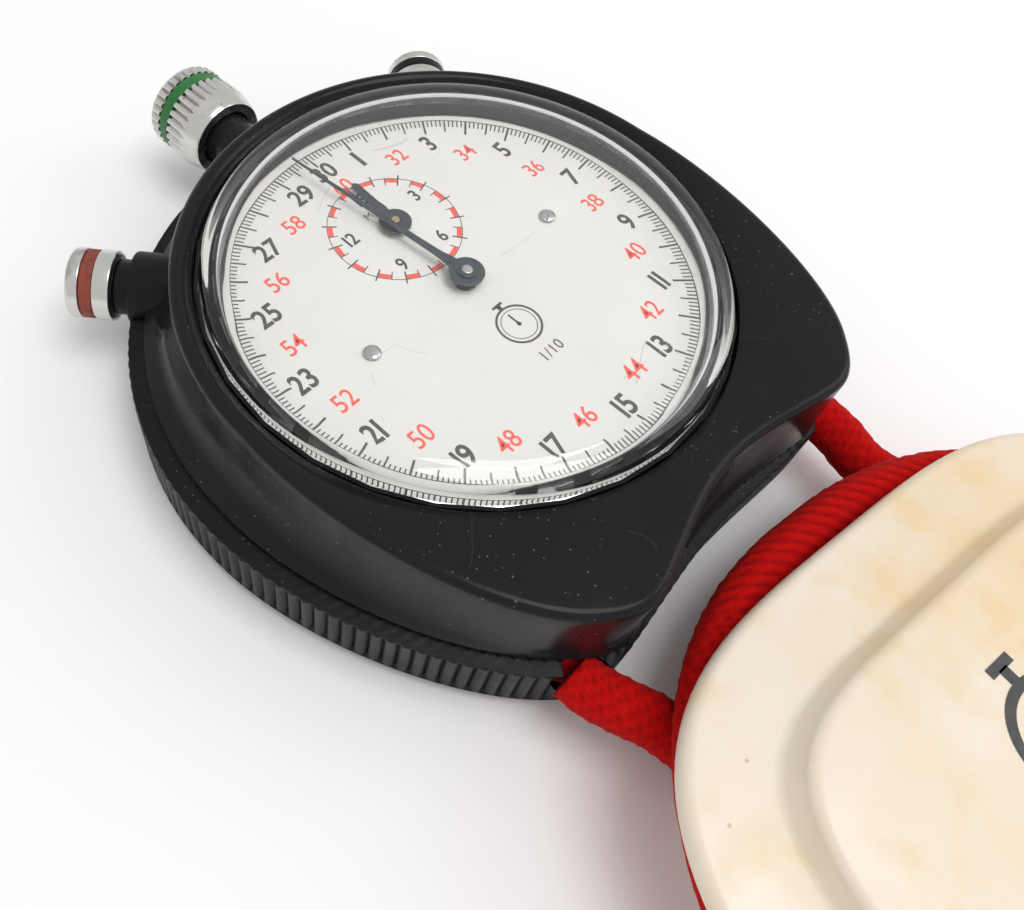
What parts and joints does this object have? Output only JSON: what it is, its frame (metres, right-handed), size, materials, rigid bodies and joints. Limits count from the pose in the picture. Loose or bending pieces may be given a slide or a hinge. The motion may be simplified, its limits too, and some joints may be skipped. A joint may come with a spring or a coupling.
{
  "type": "mechanical stopwatch",
  "caption": "Hand-wound stopwatch in a horned black case with crown, two pushers, printed dial and hands, on a plaited cord wound round a flat cord winder.",
  "frame": {"origin": "on the flat back that the watch rests on, on the axis of the dial", "axes": "+Z out through the crystal, +Y to the crown at 12 o'clock, +X to 3 o'clock"},
  "size_m": [0.0583, 0.133, 0.017],
  "materials": {
    "black_plastic": "glossy moulded black plastic, finely scratched",
    "gasket_rubber": "plain",
    "clear_acrylic": "clear polished acrylic",
    "silver_dial": "silver white lacquer, printed",
    "polished_aluminium": "turned and polished",
    "nickel": "nickel plated, matt",
    "brass": "machined",
    "steel": "polished",
    "dark_steel": "blackened",
    "green_band": "smooth",
    "red_band": "rough and worn",
    "red_cord": "plaited",
    "white_plastic": "satin, yellowed"
  },
  "bodies": {
    "case": {"front_case": "black_plastic", "back_case": "black_plastic", "crystal": "clear_acrylic", "crystal_gasket": "gasket_rubber", "dial_ring": "black_plastic", "dial": "silver_dial", "dial_screw_left": "steel", "dial_screw_right": "steel", "movement_ring": "nickel", "main_plate": "nickel", "barrel_bridge": "nickel", "train_bridge": "nickel", "balance_cock": "nickel", "crown_tube": "black_plastic", "crown_spring": "steel", "stop_guide": "black_plastic", "stop_spring": "steel", "reset_guide": "black_plastic", "reset_spring": "steel", "hairspring": "steel", "cord_in_case": "red_cord", "cord_left": "red_cord", "cord_right": "red_cord", "cord_winding": "red_cord", "winder_base": "white_plastic", "winder_top": "white_plastic"},
    "crown_slider": {"stem_collar": "steel"},
    "crown": {"crown_cap": "polished_aluminium", "crown_band": "green_band", "winding_stem": "steel", "winding_pinion": "steel"},
    "crown_wheel": {"crown_wheel": "steel"},
    "ratchet": {"ratchet_wheel": "steel"},
    "click": {"click": "steel"},
    "barrel": {"mainspring_barrel": "brass", "mainspring": "steel"},
    "centre": {"centre_wheel": "brass"},
    "third": {"third_wheel": "brass"},
    "sweep": {"sweep_wheel": "brass", "sweep_heart_cam": "steel", "sweep_hand": "dark_steel"},
    "escape": {"escape_wheel": "steel"},
    "pallet": {"pallet_fork": "steel"},
    "balance": {"balance_wheel": "brass"},
    "transfer": {"minute_transfer_wheel": "brass"},
    "minute": {"minute_wheel": "brass", "minute_hand": "dark_steel"},
    "hammer": {"reset_hammer": "steel"},
    "brake": {"brake_lever": "steel"},
    "stop_button": {"stop_stem": "black_plastic", "stop_cap": "polished_aluminium", "stop_band": "red_band"},
    "reset_button": {"reset_stem": "black_plastic", "reset_cap": "polished_aluminium", "reset_band": "black_plastic"}
  },
  "joints": [
    {"name": "crown_push", "type": "slide", "parent": "case", "child": "crown_slider", "axis": [0, -1, 0], "range_m": [0, 0.0012], "stiffness_N_per_m": 800},
    {"name": "stop_push", "type": "slide", "parent": "case", "child": "stop_button", "axis": [0.6428, -0.766, 0], "range_m": [0, 0.0012], "stiffness_N_per_m": 800},
    {"name": "reset_push", "type": "slide", "parent": "case", "child": "reset_button", "axis": [-0.6428, -0.766, 0], "range_m": [0, 0.0012], "stiffness_N_per_m": 800},
    {"name": "crown_turn", "type": "hinge", "parent": "crown_slider", "child": "crown", "pos_m": [0, 0.03, 0.0071], "axis": [0, 1, 0], "continuous": true},
    {"name": "crown_wheel_turn", "type": "hinge", "parent": "case", "child": "crown_wheel", "pos_m": [0, 0.013, 0.0071], "axis": [0, 0, 1], "continuous": true},
    {"name": "ratchet_turn", "type": "hinge", "parent": "case", "child": "ratchet", "pos_m": [-0.0063, 0.00657, 0.0071], "axis": [0, 0, 1], "continuous": true},
    {"name": "click_lift", "type": "hinge", "parent": "case", "child": "click", "pos_m": [-0.0132, 0.009, 0.0071], "axis": [0, 0, -1], "range_deg": [0, 12], "stiffness_Nm_per_rad": 0.0001},
    {"name": "sweep_turn", "type": "hinge", "parent": "case", "child": "sweep", "pos_m": [0, 0, 0.0071], "axis": [0, 0, -1], "continuous": true},
    {"name": "barrel_turn", "type": "hinge", "parent": "case", "child": "barrel", "pos_m": [-0.0063, 0.00657, 0.0071], "axis": [0, 0, -1], "continuous": true},
    {"name": "centre_turn", "type": "hinge", "parent": "case", "child": "centre", "pos_m": [-0.0106, 0.0013, 0.0071], "axis": [0, 0, -1], "continuous": true},
    {"name": "third_turn", "type": "hinge", "parent": "case", "child": "third", "pos_m": [-0.005, -0.002, 0.0071], "axis": [0, 0, -1], "continuous": true},
    {"name": "escape_turn", "type": "hinge", "parent": "case", "child": "escape", "pos_m": [0.0032, -0.00385, 0.0071], "axis": [0, 0, -1], "continuous": true},
    {"name": "transfer_turn", "type": "hinge", "parent": "case", "child": "transfer", "pos_m": [0.00138, 0.00384, 0.0071], "axis": [0, 0, -1], "continuous": true},
    {"name": "minute_turn", "type": "hinge", "parent": "case", "child": "minute", "pos_m": [0, 0.0081, 0.0071], "axis": [0, 0, -1], "continuous": true},
    {"name": "pallet_rock", "type": "hinge", "parent": "case", "child": "pallet", "pos_m": [0.006, -0.0066, 0.0071], "axis": [0, 0, -1], "range_deg": [-5, 5]},
    {"name": "balance_swing", "type": "hinge", "parent": "case", "child": "balance", "pos_m": [0.0086, -0.0092, 0.0071], "axis": [0, 0, -1], "range_deg": [-200, 200], "stiffness_Nm_per_rad": 0.0000025},
    {"name": "hammer_swing", "type": "hinge", "parent": "case", "child": "hammer", "pos_m": [0.013, 0.006, 0.0071], "axis": [0, 0, 1], "range_deg": [0, 4.2]},
    {"name": "brake_swing", "type": "hinge", "parent": "case", "child": "brake", "pos_m": [-0.01491, -0.01044, 0.0071], "axis": [0, 0, -1], "range_deg": [0, 2.2]}
  ],
  "couplings": [
    {"joint": "crown_wheel_turn", "follows": "crown_turn", "ratio": 0.5},
    {"joint": "ratchet_turn", "follows": "crown_turn", "ratio": -0.33333},
    {"joint": "third_turn", "follows": "sweep_turn", "ratio": -0.25},
    {"joint": "centre_turn", "follows": "sweep_turn", "ratio": 0.0625},
    {"joint": "barrel_turn", "follows": "sweep_turn", "ratio": -0.013889},
    {"joint": "escape_turn", "follows": "sweep_turn", "ratio": -7.5},
    {"joint": "transfer_turn", "follows": "sweep_turn", "ratio": -0.2},
    {"joint": "minute_turn", "follows": "sweep_turn", "ratio": 0.033333},
    {"joint": "hammer_swing", "follows": "reset_push", "rad_per_m": 58},
    {"joint": "brake_swing", "follows": "stop_push", "rad_per_m": 29}
  ]
}
